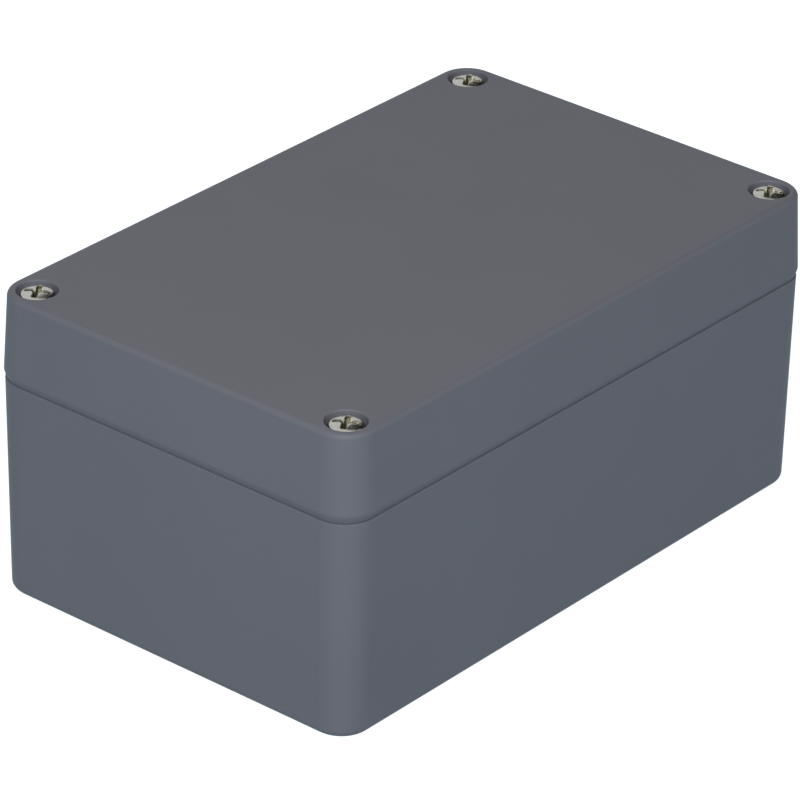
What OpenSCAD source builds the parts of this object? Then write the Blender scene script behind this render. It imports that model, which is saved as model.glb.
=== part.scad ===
// Sealed wall-mounting enclosure for electronics: a moulded base and lid with drafted, round-cornered
// sides, a gasket that runs inside the corner posts, captive lid screws and brass thread inserts.
// The origin is the middle of the underside. X runs along the long side, Y along the short side, Z is up.

/* [Outside] */
// Length over the lid's lower edge
length = 125; // [100:1:200]
// Width over the lid's lower edge
width = 80; // [72:1:140]
// Height over base and lid
height = 57; // [45:1:100]
// Height of the lid
lid_height = 16.2; // [12:0.1:22]
// Corner radius in plan, at the parting line
corner_radius = 6.5; // [5.5:0.1:9]
// Draft of the base's outer sides, in degrees
base_draft = 0.8; // [0.5:0.1:1.5]
// Draft of the lid's outer sides, in degrees
lid_draft = 3; // [0.5:0.1:4]
// Radius along the base's lower edge
base_edge_radius = 1.5; // [0.5:0.1:2.5]
// Radius along the base's upper edge, at the parting line
rim_edge_radius = 0.1; // [0.05:0.05:0.3]
// Radius along the lid's upper edge
lid_top_radius = 1; // [0.4:0.1:1.2]
// Height of the bevel along the lid's lower edge
lid_bevel_height = 1.5; // [0.8:0.1:2]
// How far the bevel runs in towards the joint
lid_bevel_depth = 0.55; // [0.1:0.05:0.7]
// Radius between the bevel and the lid's side
lid_bevel_radius = 1.2; // [0.5:0.1:3]
// Height of the shadow gap round the joint
joint_gap_height = 0.1; // [0.05:0.05:0.3]
// Depth of the shadow gap, from the lid's widest line
joint_gap_depth = 0.9; // [0.8:0.1:1]
// How far the lid stands proud of the base at the parting line
lid_overhang = 0.2; // [0:0.05:0.3]

/* [Walls] */
// Side wall at the parting line
wall = 4; // [4:0.1:6]
// Thickness of the base's floor
floor_thickness = 3.5; // [2:0.1:6]
// Thickness of the lid's top
lid_plate = 3.5; // [3.2:0.1:6]
// Radius of the chamber's inner corners
inner_radius = 2; // [0.5:0.1:3]
// Radius on the free edge of each corner post
post_edge_radius = 3.5; // [3:0.1:5]

/* [Seal] */
// Width of the gasket groove in the lid
groove_width = 2; // [1.6:0.1:2.2]
// Depth of the gasket groove in the lid
groove_depth = 3; // [2:0.1:5]
// Lip between the chamber and the groove
seal_lip = 0.7; // [0.5:0.05:0.8]
// Solid land between the groove and a mounting channel
post_land = 1; // [0.6:0.1:3]
// Width of the tongue on the base's rim
tongue_width = 1.2; // [0.8:0.1:1.4]
// Height of the tongue above the rim
tongue_height = 1.2; // [0.6:0.1:1.8]
// Clearance each side of the gasket in its groove
gasket_clearance = 0.05; // [0.02:0.01:0.15]

/* [Lid screws] */
// Distance of each screw's axis from both outer sides
screw_inset = 6; // [6:0.5:9]
// Diameter of the raised cheese head
head_diameter = 6.2; // [5:0.1:6.6]
// Height of the head
head_height = 2.4; // [2:0.1:2.8]
// How far the crown of the head lies below the lid's top
head_sink = 0; // [0:0.1:1]
// Radius of the domed crown
crown_radius = 9; // [4.5:0.1:14]
// Tip-to-tip width of the cross recess
recess_width = 4.6; // [3:0.1:4.8]
// Width of each wing of the cross recess
recess_wing = 1; // [0.6:0.05:1.1]
// Depth of the cross recess below the crown
recess_depth = 1.7; // [1.4:0.1:1.9]
// Depth of the straight tips of the wings below the crown
recess_tip_depth = 0.9; // [0.6:0.1:1.2]
// Radius of the recess's round core at the crown
recess_core_radius = 1.1; // [0.8:0.05:1.3]
// Radius of the blunt point at the bottom of the recess
recess_point_radius = 0.5; // [0.3:0.05:0.6]
// How far the recess is turned from the long side, in degrees
recess_turn = 28; // [0:1:90]
// Diameter of the pocket that the head lies in
pocket_diameter = 7.2; // [7:0.1:7.8]
// Radius at the mouth of the pocket
pocket_mouth_radius = 0.3; // [0.1:0.05:0.3]
// Outside diameter of the thread
thread_diameter = 3; // [2.8:0.1:3.2]
// Length of the thread
thread_length = 8; // [6:0.5:9]
// How far the tip reaches below the parting line
thread_reach = 7.2; // [5:0.1:7.2]
// Diameter of the thin shank between head and thread
shank_diameter = 2.2; // [1.8:0.1:2.3]
// Diameter of the neck in the lid that keeps the thread captive
neck_diameter = 2.6; // [2.5:0.05:2.7]
// Length of that neck
neck_length = 2.5; // [1.5:0.1:3]
// Diameter of the clearance bore below the neck
lid_bore_diameter = 3.8; // [3.5:0.1:4.5]

/* [Thread inserts] */
// Outside diameter of the brass insert, and of its bore in the post
insert_diameter = 4.6; // [4.4:0.1:5]
// Length of the insert
insert_length = 7.5; // [6:0.1:10]
// How far the insert lies below the parting line
insert_sink = 0.3; // [0.1:0.1:0.8]
// Radial clearance of the thread in the insert
thread_clearance = 0.05; // [0.02:0.01:0.1]
// Depth of the plain hole below the insert
insert_well = 3; // [1:0.5:6]

/* [Wall mounting] */
// Distance from a lid screw's axis to the mounting hole beside it
mount_step = 8; // [7.5:0.1:12]
// Diameter of the mounting hole
mount_hole_diameter = 4.5; // [3.2:0.1:5.5]
// Diameter of the channel above it, for the head of the mounting screw
mount_channel_diameter = 8; // [7:0.1:8.4]
// Thickness of the seat under the mounting screw's head
mount_seat = 4; // [3:0.1:8]

/* [Board bosses] */
// Distance between board bosses along the length
boss_pitch_x = 80; // [40:1:85]
// Distance between board bosses along the width
boss_pitch_y = 56; // [30:1:60]
// Diameter of a boss
boss_diameter = 7; // [5:0.1:9]
// Height of a boss above the floor
boss_height = 5; // [3:0.1:12]
// Diameter of the pilot hole in a boss
boss_hole_diameter = 2.5; // [2:0.1:3.2]
// Floor left below the pilot hole
boss_hole_floor = 2; // [1:0.1:3]

/* [Hidden] */
$fn = 96;

// How far a cut runs clear of the face that it starts from
cut = 1;
// How far a fillet's arc reaches past the sides that it rounds, so that it meets them cleanly
fillet_bite = 0.0005;

housing_colour = [0.38, 0.4, 0.43];
gasket_colour = [0.1, 0.1, 0.1];
screw_colour = [0.72, 0.71, 0.67];
brass_colour = [0.78, 0.62, 0.3];

// Heights: the parting line, the lid's inner ceiling and the seat of the screw heads
rim_z = height - lid_height;
ceiling_z = height - lid_plate;
head_seat_z = height - head_sink - head_height;

// Plan positions in the first quadrant, mirrored to the four corners
screw_at = [length / 2 - screw_inset, width / 2 - screw_inset];
mount_at = [screw_at.x, screw_at.y - mount_step];
boss_at = [boss_pitch_x / 2, boss_pitch_y / 2];
corner_at = [length / 2 - corner_radius, width / 2 - corner_radius];

// The chamber is a cross: a wide middle between the posts, and a bay at each end
seal_band = seal_lip + groove_width;
post_clear = mount_channel_diameter / 2 + post_land + seal_band;
middle_half = [mount_at.x - post_clear, width / 2 - wall];
bay_half = [length / 2 - wall, mount_at.y - post_clear];

// Screw lengths, from the seat of the head down
screw_length = head_seat_z - rim_z + thread_reach;
thread_chamfer = 0.4;
insert_chamfer = 0.3;

// What a fillet takes off a corner: all that lies outside its arc, between the two directions it turns from
module fillet_waste(centre, radius, side, end) {
    reach = radius + cut;
    difference() {
        polygon([centre + radius * side, centre + reach * side, centre + reach * (side + end),
            centre + reach * end, centre + radius * end]);
        translate(centre) circle(radius + fillet_bite);
    }
}

// Direction that the edge from one point to the next faces, for an outline that runs anticlockwise
function facing(start, end) = [end.y - start.y, start.x - end.x] / norm(end - start);

// Half section of a moulding, measured out from a corner's axis: an outline that runs anticlockwise, with a
// radius at each of its points. The first and the last point lie on the axis and stay sharp.
module rounded_section(points, radii) {
    difference() {
        polygon(points);
        for (i = [1 : len(points) - 2])
            if (radii[i] > 0) {
                side = facing(points[i - 1], points[i]);
                end = facing(points[i], points[i + 1]);
                fillet_waste(points[i] - radii[i] * (side + end) / (1 + side * end), radii[i], side, end);
            }
    }
}

// A block whose half section runs round a rectangle: quarter turns at the corners and prisms between them.
// The prisms at the two ends reach in to the middle.
module moulded_block(corner_at, low, high) {
    for (sx = [-1, 1], sy = [-1, 1])
        translate([sx * corner_at.x, sy * corner_at.y, 0])
            rotate([0, 0, sx > 0 ? (sy > 0 ? 0 : 270) : (sy > 0 ? 90 : 180)])
                rotate_extrude(angle = 90) children();
    for (turn = [0, 180])
        rotate([0, 0, turn]) {
            translate([corner_at.x, corner_at.y, 0]) rotate([90, 0, 0])
                linear_extrude(2 * corner_at.y) {
                    children();
                    translate([-corner_at.x, low]) square([corner_at.x, high - low]);
                }
            translate([-corner_at.x, corner_at.y, 0]) rotate([90, 0, 90])
                linear_extrude(2 * corner_at.x) children();
        }
}

module at_corners(place) {
    for (sx = [-1, 1], sy = [-1, 1])
        translate([sx * place.x, sy * place.y, 0]) children();
}

module rounded_rectangle(half, radius) {
    square([2 * half.x, 2 * (half.y - radius)], center = true);
    square([2 * (half.x - radius), 2 * half.y], center = true);
    at_corners(half - [radius, radius]) circle(radius);
}

// Outline of the chamber at the rim, grown outwards. The free edges of the posts turn about a fixed point,
// so their radius shrinks as the outline grows into them.
module chamber_outline(grow = 0) {
    edge = [middle_half.x, bay_half.y];
    turn = edge + [post_edge_radius, post_edge_radius];
    rounded_rectangle(middle_half + [grow, grow], inner_radius + grow);
    rounded_rectangle(bay_half + [grow, grow], inner_radius + grow);
    difference() {
        square(2 * turn, center = true);
        at_corners(turn) circle(post_edge_radius - grow);
    }
}

// A ring that follows the chamber outline, between two distances outside it
module chamber_ring(inner, outer) {
    difference() {
        chamber_outline(outer);
        chamber_outline(inner);
    }
}

// Base: the lower shell, with its posts, mounting channels, board bosses and sealing tongue
module base() {
    tongue_middle = seal_lip + groove_width / 2;
    insert_foot_z = rim_z - insert_sink - insert_length;
    rim_radius = corner_radius - lid_overhang;
    color(housing_colour) {
        difference() {
            moulded_block(corner_at, 0, rim_z)
                rounded_section(
                    [[0, 0], [rim_radius - rim_z * tan(base_draft), 0], [rim_radius, rim_z], [0, rim_z]],
                    [0, base_edge_radius, rim_edge_radius, 0]);
            translate([0, 0, floor_thickness])
                linear_extrude(rim_z - floor_thickness + cut) chamber_outline();
            at_corners(screw_at) {
                translate([0, 0, insert_foot_z])
                    cylinder(d = insert_diameter, h = rim_z - insert_foot_z + cut);
                translate([0, 0, insert_foot_z - insert_well])
                    cylinder(d = thread_diameter + 2 * thread_clearance, h = insert_well + cut);
            }
            at_corners(mount_at) {
                translate([0, 0, -cut]) cylinder(d = mount_hole_diameter, h = mount_seat + 2 * cut);
                translate([0, 0, mount_seat])
                    cylinder(d = mount_channel_diameter, h = rim_z - mount_seat + cut);
            }
            at_corners(boss_at) translate([0, 0, boss_hole_floor])
                cylinder(d = boss_hole_diameter, h = floor_thickness);
        }
        at_corners(boss_at) board_boss();
        translate([0, 0, rim_z]) linear_extrude(tongue_height)
            chamber_ring(tongue_middle - tongue_width / 2, tongue_middle + tongue_width / 2);
    }
}

// One boss for a board, with a pilot hole that runs on into the floor
module board_boss() {
    difference() {
        translate([0, 0, floor_thickness]) cylinder(d = boss_diameter, h = boss_height);
        translate([0, 0, boss_hole_floor])
            cylinder(d = boss_hole_diameter, h = floor_thickness + boss_height);
    }
}

// Lid: the upper shell, with the gasket groove, and a pocket, a captive neck and a bore for each screw
module lid() {
    bevel_lean = atan(lid_bevel_depth / lid_bevel_height);
    // The full size is reached where the arc between bevel and side is widest, inside the sharp edge
    edge_ease = cos((bevel_lean - lid_draft) / 2) / cos((bevel_lean + lid_draft) / 2) - 1;
    edge_radius = corner_radius + lid_bevel_radius * edge_ease;
    top_radius = edge_radius - (lid_height - lid_bevel_height) * tan(lid_draft);
    color(housing_colour)
        difference() {
            moulded_block(corner_at, rim_z, height)
                difference() {
                    rounded_section(
                        [[0, rim_z], [edge_radius - lid_bevel_depth, rim_z],
                            [edge_radius, rim_z + lid_bevel_height], [top_radius, height], [0, height]],
                        [0, 0, lid_bevel_radius, lid_top_radius, 0]);
                    translate([corner_radius - joint_gap_depth, rim_z - cut])
                        square([joint_gap_depth + cut, joint_gap_height + cut]);
                }
            translate([0, 0, rim_z - cut]) linear_extrude(ceiling_z - rim_z + cut) chamber_outline();
            translate([0, 0, rim_z - cut]) linear_extrude(groove_depth + cut)
                chamber_ring(seal_lip, seal_band);
            at_corners(screw_at) screw_passage();
            at_corners(mount_at) translate([0, 0, rim_z - cut])
                cylinder(d = mount_channel_diameter, h = ceiling_z - rim_z + cut);
        }
}

// The hollow that a captive screw sits in, from the rounded mouth of its pocket to the lid's lower face
module screw_passage() {
    pocket = pocket_diameter / 2;
    mouth = pocket_mouth_radius;
    rotate_extrude() {
        translate([0, head_seat_z]) square([pocket, height - head_seat_z + cut]);
        difference() {
            translate([pocket / 2, height - mouth]) square([pocket / 2 + mouth, mouth + cut]);
            translate([pocket + mouth, height - mouth]) circle(mouth + fillet_bite);
        }
    }
    translate([0, 0, head_seat_z - neck_length]) cylinder(d = neck_diameter, h = neck_length + cut);
    translate([0, 0, rim_z - cut])
        cylinder(d = lid_bore_diameter, h = head_seat_z - neck_length - rim_z + cut);
}

// Gasket: a soft ring that fills the bottom of the lid's groove and rests on the base's tongue
module gasket() {
    color(gasket_colour)
        translate([0, 0, rim_z + tongue_height])
            linear_extrude(groove_depth - tongue_height)
                chamber_ring(seal_lip + gasket_clearance, seal_band - gasket_clearance);
}

// Thread inserts: one knurled brass sleeve pressed into each corner post
module thread_inserts() {
    bore = thread_diameter / 2 + thread_clearance;
    outer = insert_diameter / 2;
    top = rim_z - insert_sink;
    foot = top - insert_length;
    color(brass_colour)
        at_corners(screw_at) rotate_extrude() polygon([
            [bore, foot], [outer - insert_chamfer, foot], [outer, foot + insert_chamfer],
            [outer, top], [bore + insert_chamfer, top], [bore, top - insert_chamfer]]);
}

// Lid screw: a raised cheese head with a cross recess, a thin shank and a short thread
module lid_screw(side) {
    head = head_diameter / 2;
    shank = shank_diameter / 2;
    thread = thread_diameter / 2;
    tip = -screw_length;
    thread_top = tip + thread_length;
    color(screw_colour)
        translate([side.x * screw_at.x, side.y * screw_at.y, head_seat_z])
            difference() {
                rotate_extrude() {
                    polygon([[0, tip], [thread - thread_chamfer, tip], [thread, tip + thread_chamfer],
                        [thread, thread_top], [shank, thread_top + thread - shank], [shank, 0], [0, 0]]);
                    intersection() {
                        square([head, head_height]);
                        translate([0, head_height - crown_radius]) circle(crown_radius);
                    }
                }
                translate([0, 0, head_height]) rotate([0, 0, recess_turn]) cross_recess();
            }
}

// Cross recess, cut down from the crown: two crossed wings and a round core that narrow to a blunt point
module cross_recess() {
    tip = recess_width / 2;
    point = recess_point_radius;
    for (turn = [0, 90])
        rotate([90, 0, turn])
            linear_extrude(recess_wing, center = true)
                polygon([[-point, -recess_depth], [point, -recess_depth], [tip, -recess_tip_depth],
                    [tip, cut], [-tip, cut], [-tip, -recess_tip_depth]]);
    translate([0, 0, -recess_depth]) cylinder(r1 = point, r2 = recess_core_radius, h = recess_depth);
}

base();
lid();
gasket();
thread_inserts();
lid_screw([-1, -1]);  // lid_screw_front_left
lid_screw([1, -1]);  // lid_screw_front_right
lid_screw([-1, 1]);  // lid_screw_back_left
lid_screw([1, 1]);  // lid_screw_back_right
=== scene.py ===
import math

import bmesh
import bpy
from mathutils import Matrix, Vector


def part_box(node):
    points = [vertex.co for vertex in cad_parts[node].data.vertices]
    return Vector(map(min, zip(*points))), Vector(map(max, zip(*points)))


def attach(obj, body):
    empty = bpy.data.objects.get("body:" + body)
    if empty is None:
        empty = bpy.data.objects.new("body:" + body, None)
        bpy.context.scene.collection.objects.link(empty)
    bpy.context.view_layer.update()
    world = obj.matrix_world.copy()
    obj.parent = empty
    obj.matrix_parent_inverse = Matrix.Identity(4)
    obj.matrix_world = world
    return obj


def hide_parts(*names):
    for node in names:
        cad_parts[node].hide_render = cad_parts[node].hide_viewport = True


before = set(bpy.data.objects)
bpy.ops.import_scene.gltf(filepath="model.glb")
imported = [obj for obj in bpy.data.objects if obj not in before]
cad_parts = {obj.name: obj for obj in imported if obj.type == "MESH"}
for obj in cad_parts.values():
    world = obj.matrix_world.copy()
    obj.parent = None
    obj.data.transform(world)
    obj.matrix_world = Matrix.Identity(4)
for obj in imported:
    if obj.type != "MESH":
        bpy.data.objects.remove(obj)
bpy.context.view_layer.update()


# Base: the lower half of the box, one injection moulding in mid grey plastic. Its sides lean in by the draft
# that lets it leave the mould, and the mould's spark-eroded skin leaves a fine even grain on it.
housing_grey = (0.132, 0.146, 0.172)
grain_size = 0.00022
grain_depth = 0.000008
flow_size = 0.02
flow_contrast = 0.015


def new_material(name):
    material = bpy.data.materials.new(name)
    material.use_nodes = True
    tree = material.node_tree
    return material, tree.nodes, tree.links, tree.nodes["Principled BSDF"]


def noise_texture(nodes, links, place, scale, detail):
    texture = nodes.new("ShaderNodeTexNoise")
    texture.inputs["Scale"].default_value = scale
    texture.inputs["Detail"].default_value = detail
    links.new(place, texture.inputs["Vector"])
    return texture


def colour_ramp(nodes, links, value, dark, light):
    ramp = nodes.new("ShaderNodeValToRGB")
    ramp.color_ramp.elements[0].color = (*dark, 1)
    ramp.color_ramp.elements[1].color = (*light, 1)
    links.new(value, ramp.inputs["Fac"])
    return ramp


def add_relief(nodes, links, height, strength, depth):
    relief = nodes.new("ShaderNodeBump")
    relief.inputs["Strength"].default_value = strength
    relief.inputs["Distance"].default_value = depth
    links.new(height, relief.inputs["Height"])
    links.new(relief.outputs["Normal"], nodes["Principled BSDF"].inputs["Normal"])


def add_sheen(nodes, links, value, smooth, rough):
    sheen = nodes.new("ShaderNodeMapRange")
    sheen.inputs["To Min"].default_value = smooth
    sheen.inputs["To Max"].default_value = rough
    links.new(value, sheen.inputs["Value"])
    links.new(sheen.outputs["Result"], nodes["Principled BSDF"].inputs["Roughness"])


def moulded_plastic(name, colour, seed):
    material, nodes, links, shader = new_material(name)
    shader.inputs["Specular IOR Level"].default_value = 0.15
    place = nodes.new("ShaderNodeTexCoord")
    shift = nodes.new("ShaderNodeMapping")
    shift.inputs["Location"].default_value = (seed, seed, seed)
    links.new(place.outputs["Object"], shift.inputs["Vector"])

    grain = noise_texture(nodes, links, shift.outputs["Vector"], scale=1 / grain_size, detail=3)
    grain.inputs["Roughness"].default_value = 0.6
    add_relief(nodes, links, grain.outputs["Fac"], strength=0.5, depth=grain_depth)
    add_sheen(nodes, links, grain.outputs["Fac"], smooth=0.48, rough=0.62)

    flow = noise_texture(nodes, links, shift.outputs["Vector"], scale=1 / flow_size, detail=2)
    tone = colour_ramp(nodes, links, flow.outputs["Fac"],
                       dark=[(1 - flow_contrast) * c for c in colour],
                       light=[(1 + flow_contrast) * c for c in colour])
    tone.color_ramp.elements[0].position = 0.3
    tone.color_ramp.elements[1].position = 0.7
    links.new(tone.outputs["Color"], shader.inputs["Base Color"])
    return material


def dress(node, material):
    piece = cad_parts[node]
    piece.data.materials.clear()
    piece.data.materials.append(material)


dress("base", moulded_plastic("base_plastic", housing_grey, 0))


# Thread inserts: four brass sleeves that are pressed hot into the corner posts, turned from bar with two
# knurled bands and a groove between them that the plastic flows into. A screw thread runs through each.
mm = 0.001
weld_gap = 0.001
near = 0.01
crease_angle = math.radians(38)
thread_pitch = 0.5
insert_radius = 2.3
insert_bore = 1.55
insert_length = 7.5
insert_chamfer = 0.3
insert_relief = 0.1
knurl_teeth = 36
knurl_depth = 0.18
knurl_bands = ((0.7, 3.1), (4.1, 6.9))
knurl_slope = 0.25
groove_radius = 1.95


def turned(bm, profile, steps, closed=False):
    """Turns a run of (radius, height) points about the upright axis."""
    run = [bm.verts.new((radius, 0, height)) for radius, height in profile]
    edges = [bm.edges.new(pair) for pair in zip(run, run[1:] + run[:1] if closed else run[1:])]
    bmesh.ops.spin(bm, geom=run + edges, cent=(0, 0, 0), axis=(0, 0, 1), angle=2 * math.pi, steps=steps,
                   use_merge=True)
    bmesh.ops.remove_doubles(bm, verts=bm.verts, dist=weld_gap)


def finish_piece(bm, name, material, body, node):
    bmesh.ops.scale(bm, vec=(mm, mm, mm), verts=bm.verts)
    bmesh.ops.recalc_face_normals(bm, faces=bm.faces)
    mesh = bpy.data.meshes.new(name)
    bm.to_mesh(mesh)
    bm.free()
    mesh.shade_smooth()
    mesh.set_sharp_from_angle(angle=crease_angle)
    mesh.materials.append(material)
    piece = bpy.data.objects.new(name, mesh)
    bpy.context.scene.collection.objects.link(piece)
    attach(piece, body)
    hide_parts(node)


def screw_axis(node):
    low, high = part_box(node)
    return (low.x + high.x) / 2 / mm, (low.y + high.y) / 2 / mm


screw_nodes = ("lid_screw_front_left", "lid_screw_front_right", "lid_screw_back_left", "lid_screw_back_right")
insert_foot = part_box("thread_inserts")[0].z / mm
sleeve = [(insert_bore, insert_chamfer), (insert_bore + insert_chamfer, 0),
          (insert_radius - insert_chamfer, 0), (insert_radius - insert_relief, insert_chamfer)]
for start, end in knurl_bands:
    sleeve += [(groove_radius, start - knurl_slope), (insert_radius, start), (insert_radius, end),
               (groove_radius, end + knurl_slope)]
sleeve += [(insert_radius - insert_relief, insert_length - 2 * insert_relief),
           (insert_radius - 2 * insert_relief, insert_length),
           (insert_bore + insert_chamfer, insert_length), (insert_bore, insert_length - insert_chamfer)]
bm = bmesh.new()
turned(bm, sleeve, 2 * knurl_teeth, closed=True)
for vert in bm.verts:
    radius = math.hypot(vert.co.x, vert.co.y)
    step = round(math.atan2(vert.co.y, vert.co.x) / math.pi * knurl_teeth)
    if radius > insert_radius - near and step % 2:
        share = 1 - knurl_depth / radius
        bmesh.ops.scale(bm, vec=(share, share, 1), verts=[vert])
sleeve_verts = bm.verts[:]
sleeve_geom = sleeve_verts + bm.edges[:] + bm.faces[:]
for node in screw_nodes:
    copy = bmesh.ops.duplicate(bm, geom=sleeve_geom)["geom"]
    bmesh.ops.translate(bm, vec=(*screw_axis(node), insert_foot),
                        verts=[part for part in copy if isinstance(part, bmesh.types.BMVert)])
bmesh.ops.delete(bm, geom=sleeve_verts, context="VERTS")


def wave_scale(pitch):
    """The wave texture repeats every tenth of pi over its scale."""
    return math.pi / 10 / (pitch * mm)


def turned_brass(name):
    material, nodes, links, shader = new_material(name)
    shader.inputs["Metallic"].default_value = 1
    place = nodes.new("ShaderNodeTexCoord").outputs["Object"]
    thread = nodes.new("ShaderNodeTexWave")
    thread.bands_direction = "Z"
    thread.inputs["Scale"].default_value = wave_scale(thread_pitch)
    links.new(place, thread.inputs["Vector"])
    add_relief(nodes, links, thread.outputs["Fac"], strength=0.6, depth=0.0001)

    tarnish = noise_texture(nodes, links, place, scale=900, detail=4)
    tone = colour_ramp(nodes, links, tarnish.outputs["Fac"],
                       dark=(0.5, 0.34, 0.13), light=(0.68, 0.5, 0.23))
    links.new(tone.outputs["Color"], shader.inputs["Base Color"])
    add_sheen(nodes, links, tarnish.outputs["Fac"], smooth=0.22, rough=0.4)
    return material


finish_piece(bm, "knurled_inserts", turned_brass("turned_brass"), "base", "thread_inserts")


# Lid: the upper half, moulded in the same plastic. Its top edges are rounded, a bevel draws its lower edge in
# to a thin shadow gap at the joint, and each corner has a round pocket for a screw head.
dress("lid", moulded_plastic("lid_plastic", housing_grey, 0.3))


# Gasket: a soft closed-cell rubber ring that is laid in the lid's groove, and pressed by the tongue on the
# base's rim. Its edges are round, and its skin has fine pores.
gasket_round = 0.45
gasket_weld = 0.0005
flat_angle = math.radians(1)
rim_angle = math.radians(60)
pore_size = 0.00025
pore_depth = 0.00006

bm = bmesh.new()
bm.from_mesh(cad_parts["gasket"].data)
bmesh.ops.scale(bm, vec=(1 / mm, 1 / mm, 1 / mm), verts=bm.verts)
bmesh.ops.remove_doubles(bm, verts=bm.verts, dist=gasket_weld)
bmesh.ops.dissolve_limit(bm, angle_limit=flat_angle, verts=bm.verts, edges=bm.edges)
rims = [edge for edge in bm.edges if len(edge.link_faces) == 2 and edge.calc_face_angle() > rim_angle]
bmesh.ops.bevel(bm, geom=rims, offset=gasket_round, segments=4, profile=0.5, affect="EDGES", material=-1)


def soft_rubber(name):
    material, nodes, links, shader = new_material(name)
    shader.inputs["Specular IOR Level"].default_value = 0.25
    place = nodes.new("ShaderNodeTexCoord").outputs["Object"]
    pores = nodes.new("ShaderNodeTexVoronoi")
    pores.inputs["Scale"].default_value = 1 / pore_size
    links.new(place, pores.inputs["Vector"])
    add_relief(nodes, links, pores.outputs["Distance"], strength=0.4, depth=pore_depth)

    bloom = noise_texture(nodes, links, place, scale=300, detail=3)
    tone = colour_ramp(nodes, links, bloom.outputs["Fac"],
                       dark=(0.014, 0.014, 0.015), light=(0.032, 0.032, 0.035))
    links.new(tone.outputs["Color"], shader.inputs["Base Color"])
    add_sheen(nodes, links, bloom.outputs["Fac"], smooth=0.7, rough=0.9)
    return material


finish_piece(bm, "rubber_gasket", soft_rubber("soft_rubber"), "lid", "gasket")


# Lid screws: plated steel screws with a raised cheese head. The head and its cross recess are cold formed,
# the thread is rolled, and the thin shank between them keeps each screw captive in the lid.
head_radius = 3.1
head_height = 2.4
head_rounding = 0.5
head_ease = 0.12
crown_radius = 9.0
crown_ring = 2.52
turn_steps = 48
recess_turn = math.radians(28)
recess_tip = 2.3
recess_half = 0.5
recess_core = 0.95
recess_ease = 0.18
recess_edge = 0.05
recess_draft = 0.04
waist_core = 0.68
waist_depth = 0.9
point_tip = 0.62
point_half = 0.3
point_core = 0.4
point_depth = 1.7
shank_radius = 1.1
thread_radius = 1.5
thread_root = 1.2
thread_sunk = 0.08
thread_length = 8.0
thread_lead = 0.4
thread_ends = 0.3
thread_rise = 0.25
thread_steps = 32
crest_half = 0.03
flank_half = 0.21
end_chamfer = 0.3


def crown_height(radius):
    return math.sqrt(crown_radius ** 2 - radius ** 2) - crown_radius


def at_radius(vert):
    return math.hypot(vert.co.x, vert.co.y)


def cross_loop(bm, tip_reach, half, core, depth):
    """The outline of one wing, copied round the axis to a closed cross that lies that far below the crown."""
    before_verts, before_edges = set(bm.verts), set(bm.edges)
    sides = [core + (tip_reach - recess_ease - core) * share for share in (0, 0.25, 0.5, 0.75, 1)]
    wing = [(along, -half) for along in sides]
    wing += [(tip_reach, recess_ease - half), (tip_reach, half - recess_ease)]
    wing += [(along, half) for along in reversed(sides)] + [(half, core)]
    run = [bm.verts.new((along, across, -depth)) for along, across in wing]
    edges = [bm.edges.new(pair) for pair in zip(run, run[1:])]
    bmesh.ops.rotate(bm, verts=run, cent=(0, 0, 0), matrix=Matrix.Rotation(recess_turn, 3, "Z"))
    bmesh.ops.spin(bm, geom=run + edges, cent=(0, 0, 0), axis=(0, 0, 1), angle=1.5 * math.pi, steps=3,
                   use_duplicate=True)
    bmesh.ops.remove_doubles(bm, verts=[vert for vert in bm.verts if vert not in before_verts], dist=weld_gap)
    return [edge for edge in bm.edges if edge not in before_edges]


low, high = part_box(screw_nodes[0])
tip = (low.z - high.z) / mm
thread_top = tip + thread_length
bm = bmesh.new()
turned(bm, [(crown_ring, crown_height(crown_ring)), (head_radius, crown_height(head_radius)),
            (head_radius, -head_height), (shank_radius, -head_height),
            (shank_radius, thread_top + thread_lead), (thread_root, thread_top),
            (thread_root, tip + thread_lead), (thread_root - end_chamfer, tip), (0, tip)],
       turn_steps)
for is_top, offset, segments in ((True, head_rounding, 4), (False, head_ease, 2)):
    rim = [edge for edge in bm.edges
           if all(at_radius(vert) > head_radius - near for vert in edge.verts)
           and all((vert.co.z > -head_height / 2) == is_top for vert in edge.verts)]
    bmesh.ops.bevel(bm, geom=rim, offset=offset, segments=segments, profile=0.5, affect="EDGES", material=-1)
ring = [edge for edge in bm.edges if edge.is_boundary]
mouth = cross_loop(bm, recess_tip, recess_half, recess_core, 0)
waist = cross_loop(bm, recess_tip - recess_draft, recess_half - recess_draft, waist_core, waist_depth)
point = cross_loop(bm, point_tip, point_half, point_core, point_depth)
bmesh.ops.bridge_loops(bm, edges=mouth + waist)
bmesh.ops.bridge_loops(bm, edges=waist + point)
bmesh.ops.contextual_create(bm, geom=point)
spokes = bmesh.ops.bridge_loops(bm, edges=ring + mouth)["edges"]
for edge in mouth:
    edge.seam = True
bmesh.ops.subdivide_edges(bm, edges=spokes, cuts=3)
for vert in bm.verts:
    if vert.co.z > -waist_depth / 2 and at_radius(vert) < crown_ring:
        vert.co.z = crown_height(at_radius(vert))
bmesh.ops.recalc_face_normals(bm, faces=bm.faces)
bmesh.ops.bevel(bm, geom=[edge for edge in bm.edges if edge.seam], offset=recess_edge, segments=2,
                profile=0.5, affect="EDGES", material=-1)

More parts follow.
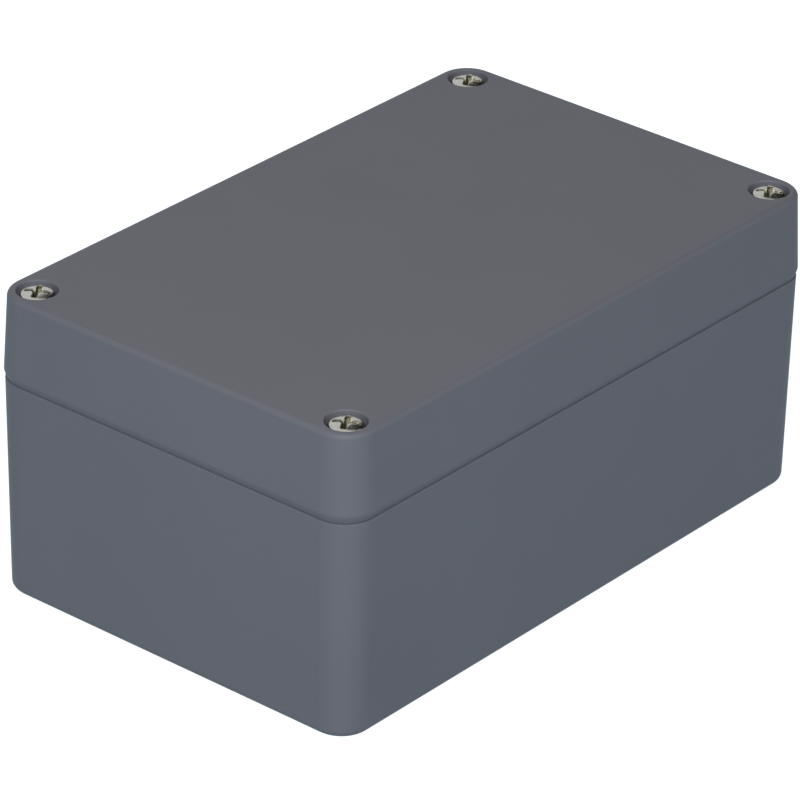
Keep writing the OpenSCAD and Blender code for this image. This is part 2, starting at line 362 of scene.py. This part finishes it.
body_verts = set(bm.verts)
thread_foot = thread_root - thread_sunk
flank = [(thread_foot, -flank_half), (thread_radius, -crest_half), (thread_radius, crest_half),
         (thread_foot, flank_half)]
start = bm.faces.new([bm.verts.new((radius, 0, tip + thread_rise + height)) for radius, height in flank])
turns = (thread_length - thread_ends) / thread_pitch
bmesh.ops.spin(bm, geom=[start, *start.edges, *start.verts], cent=(0, 0, 0), axis=(0, 0, 1),
               dvec=(0, 0, thread_pitch / thread_steps), angle=2 * math.pi * turns,
               steps=round(thread_steps * turns))
for vert in bm.verts:
    if vert not in body_verts:
        reach = thread_radius - thread_lead + min(vert.co.z - tip, thread_top + thread_lead - vert.co.z)
        share = reach / at_radius(vert)
        if share < 1:
            bmesh.ops.scale(bm, vec=(share, share, 1), verts=[vert])

mark_pitch = 0.12
# Painted shade deep in the cross recess: the radius at which it starts and is full, how far below the crown
# it starts and is full, and where it fades out again near the head's underside.
recess_shade_radius = (2.55, 2.35)
recess_shade_top = (-0.25, -0.9)
recess_shade_floor = (-2.3, -2.1)


def plated_steel(name, axis, crown):
    material, nodes, links, shader = new_material(name)
    shader.inputs["Metallic"].default_value = 1
    place = nodes.new("ShaderNodeTexCoord")
    centre = nodes.new("ShaderNodeMapping")
    centre.inputs["Location"].default_value = (-axis[0] * mm, -axis[1] * mm, -crown)
    links.new(place.outputs["Object"], centre.inputs["Vector"])
    marks = nodes.new("ShaderNodeTexWave")
    marks.wave_type = "RINGS"
    marks.rings_direction = "Z"
    marks.inputs["Scale"].default_value = wave_scale(mark_pitch)
    marks.inputs["Distortion"].default_value = 1.5
    links.new(centre.outputs["Vector"], marks.inputs["Vector"])
    add_relief(nodes, links, marks.outputs["Fac"], strength=0.12, depth=0.00001)

    plating = noise_texture(nodes, links, centre.outputs["Vector"], scale=1500, detail=4)
    tone = colour_ramp(nodes, links, plating.outputs["Fac"],
                       dark=(0.36, 0.36, 0.33), light=(0.52, 0.52, 0.48))
    add_sheen(nodes, links, plating.outputs["Fac"], smooth=0.18, rough=0.32)

    flat = nodes.new("ShaderNodeVectorMath")
    flat.operation = "MULTIPLY"
    flat.inputs[1].default_value = (1, 1, 0)
    links.new(centre.outputs["Vector"], flat.inputs[0])
    radius = nodes.new("ShaderNodeVectorMath")
    radius.operation = "LENGTH"
    links.new(flat.outputs["Vector"], radius.inputs[0])
    height = nodes.new("ShaderNodeSeparateXYZ")
    links.new(centre.outputs["Vector"], height.inputs["Vector"])
    # Mask of the painted shade: inside the recess's radius, and deeper than its top limit but above its floor
    # limit.
    recess_shade_mask = None
    for value, (bare, dark) in ((radius.outputs["Value"], recess_shade_radius), (height.outputs["Z"], recess_shade_top),
                                (height.outputs["Z"], recess_shade_floor)):
        limit = nodes.new("ShaderNodeMapRange")
        limit.inputs["From Min"].default_value = bare * mm
        limit.inputs["From Max"].default_value = dark * mm
        links.new(value, limit.inputs["Value"])
        if recess_shade_mask:
            both = nodes.new("ShaderNodeMath")
            both.operation = "MULTIPLY"
            links.new(recess_shade_mask, both.inputs[0])
            links.new(limit.outputs["Result"], both.inputs[1])
            recess_shade_mask = both.outputs[0]
        else:
            recess_shade_mask = limit.outputs["Result"]
    # Painted shade: deep inside the cross recess the base colour turns a dark dull olive, which stands in for
    # the shade there.
    painted_recess_shade = nodes.new("ShaderNodeMix")
    painted_recess_shade.data_type = "RGBA"
    painted_recess_shade.inputs["B"].default_value = (0.24, 0.23, 0.155, 1)
    links.new(recess_shade_mask, painted_recess_shade.inputs["Factor"])
    links.new(tone.outputs["Color"], painted_recess_shade.inputs["A"])
    links.new(painted_recess_shade.outputs["Result"], shader.inputs["Base Color"])
    return material


for node in screw_nodes:
    axis, crown = screw_axis(node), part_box(node)[1].z
    placed = bm.copy()
    bmesh.ops.translate(placed, vec=(*axis, crown / mm), verts=placed.verts)
    steel = plated_steel(node.replace("lid_screw", "plated_steel"), axis, crown)
    finish_piece(placed, node.replace("lid_screw", "captive_screw"), steel, node, node)
bm.free()


# Camera: a long lens that looks down on the corner between the front and the left side.
image_px = 800
sensor_mm = 36
focal_px = 5465.8
azimuth = math.radians(-50.424)
elevation = math.radians(28.37)
roll = math.radians(1.215)
distance = 0.9591
slide_right = -0.00076
slide_up = 0.02261

back = Vector((math.sin(azimuth) * math.cos(elevation), -math.cos(azimuth) * math.cos(elevation),
               math.sin(elevation)))
level_right = Vector((math.cos(azimuth), math.sin(azimuth), 0))
level_up = back.cross(level_right)
right = math.cos(roll) * level_right + math.sin(roll) * level_up
up = math.cos(roll) * level_up - math.sin(roll) * level_right
lens = bpy.data.cameras.new("photo_camera")
lens.sensor_width = sensor_mm
lens.lens = sensor_mm * focal_px / image_px
lens.clip_start = 0.01
camera = bpy.data.objects.new("photo_camera", lens)
camera.matrix_world = Matrix((right, up, back)).transposed().to_4x4()
camera.location = back * distance + right * slide_right + up * slide_up
bpy.context.scene.collection.objects.link(camera)
bpy.context.scene.camera = camera


# Floor: a wide white sheet that the box stands on, which keeps a faint shadow under it. It lies a hair lower
# than the box, so that the two flat faces don't fight.
floor_half = 3
floor_drop = 0.05 * mm


def flat_sheet(name, half, material):
    bm = bmesh.new()
    bmesh.ops.create_grid(bm, x_segments=1, y_segments=1, size=half)
    mesh = bpy.data.meshes.new(name)
    bm.to_mesh(mesh)
    bm.free()
    mesh.materials.append(material)
    piece = bpy.data.objects.new(name, mesh)
    bpy.context.scene.collection.objects.link(piece)
    return piece


def seen_directly(nodes, links):
    """One where the camera, a mirror or a glass looks at a surface, nought for the light that it gives."""
    path = nodes.new("ShaderNodeLightPath")
    first = nodes.new("ShaderNodeMath")
    first.operation = "MAXIMUM"
    second = nodes.new("ShaderNodeMath")
    second.operation = "MAXIMUM"
    links.new(path.outputs["Is Camera Ray"], first.inputs[0])
    links.new(path.outputs["Is Glossy Ray"], first.inputs[1])
    links.new(first.outputs[0], second.inputs[0])
    links.new(path.outputs["Is Transmission Ray"], second.inputs[1])
    return second.outputs[0]


sheet, nodes, links, shader = new_material("white_sheet")
nodes.remove(shader)
lit = nodes.new("ShaderNodeBsdfDiffuse")
lit.inputs["Color"].default_value = (0.255, 0.431, 0.524, 1)
glow = nodes.new("ShaderNodeEmission")
links.new(seen_directly(nodes, links), glow.inputs["Strength"])
glow.inputs["Color"].default_value = (0.93, 0.93, 0.93, 1)
both = nodes.new("ShaderNodeAddShader")
links.new(lit.outputs[0], both.inputs[0])
links.new(glow.outputs[0], both.inputs[1])
links.new(both.outputs[0], nodes["Material Output"].inputs["Surface"])
flat_sheet("floor", floor_half, sheet).location.z = -floor_drop


# Light: a broad soft lamp over the camera's shoulder, a weak one low behind the box that leaves no glints, a
# black card beside the box that only shiny faces mirror, and a weak even sky.
lamp_distance = 1.2
card_distance = 2
card_half = 1


def aim(stand, from_azimuth, from_elevation, reach):
    """Stands something at that distance, so that it faces the box."""
    a, e = math.radians(from_azimuth), math.radians(from_elevation)
    towards = Vector((math.sin(a) * math.cos(e), -math.cos(a) * math.cos(e), math.sin(e)))
    facing = towards.to_track_quat("Z", "Y").to_matrix().to_4x4()
    stand.matrix_world = Matrix.Translation(towards * reach) @ facing


def soft_lamp(name, from_azimuth, from_elevation, size, watts, colour):
    lamp = bpy.data.lights.new(name, "AREA")
    lamp.shape = "DISK"
    lamp.size = size
    lamp.energy = watts
    lamp.color = colour
    stand = bpy.data.objects.new(name, lamp)
    aim(stand, from_azimuth, from_elevation, lamp_distance)
    bpy.context.scene.collection.objects.link(stand)
    return stand


soft_lamp("key_lamp", -52, 40, 0.4, 13.7, (1, 0.941, 0.93))
soft_lamp("back_lamp", 130, 8, 0.6, 9.8, (1, 1, 1)).visible_glossy = False

black, nodes, links, shader = new_material("black_card")
shader.inputs["Base Color"].default_value = (0.015, 0.015, 0.015, 1)
shader.inputs["Specular IOR Level"].default_value = 0
card = flat_sheet("black_card", card_half, black)
aim(card, 88, 44, card_distance)
card.visible_camera = card.visible_diffuse = card.visible_transmission = card.visible_shadow = False

world = bpy.data.worlds.new("sky")
bpy.context.scene.world = world
world.use_nodes = True
nodes, links = world.node_tree.nodes, world.node_tree.links
sky = nodes["Background"]
sky.inputs["Color"].default_value = (0.096, 0.067, 0.064, 1)
white = nodes.new("ShaderNodeBackground")
white.inputs["Color"].default_value = (1, 1, 1, 1)
choose = nodes.new("ShaderNodeMixShader")
links.new(seen_directly(nodes, links), choose.inputs[0])
links.new(sky.outputs[0], choose.inputs[1])
links.new(white.outputs[0], choose.inputs[2])
links.new(choose.outputs[0], nodes["World Output"].inputs["Surface"])

bpy.context.scene.view_settings.view_transform = "Standard"
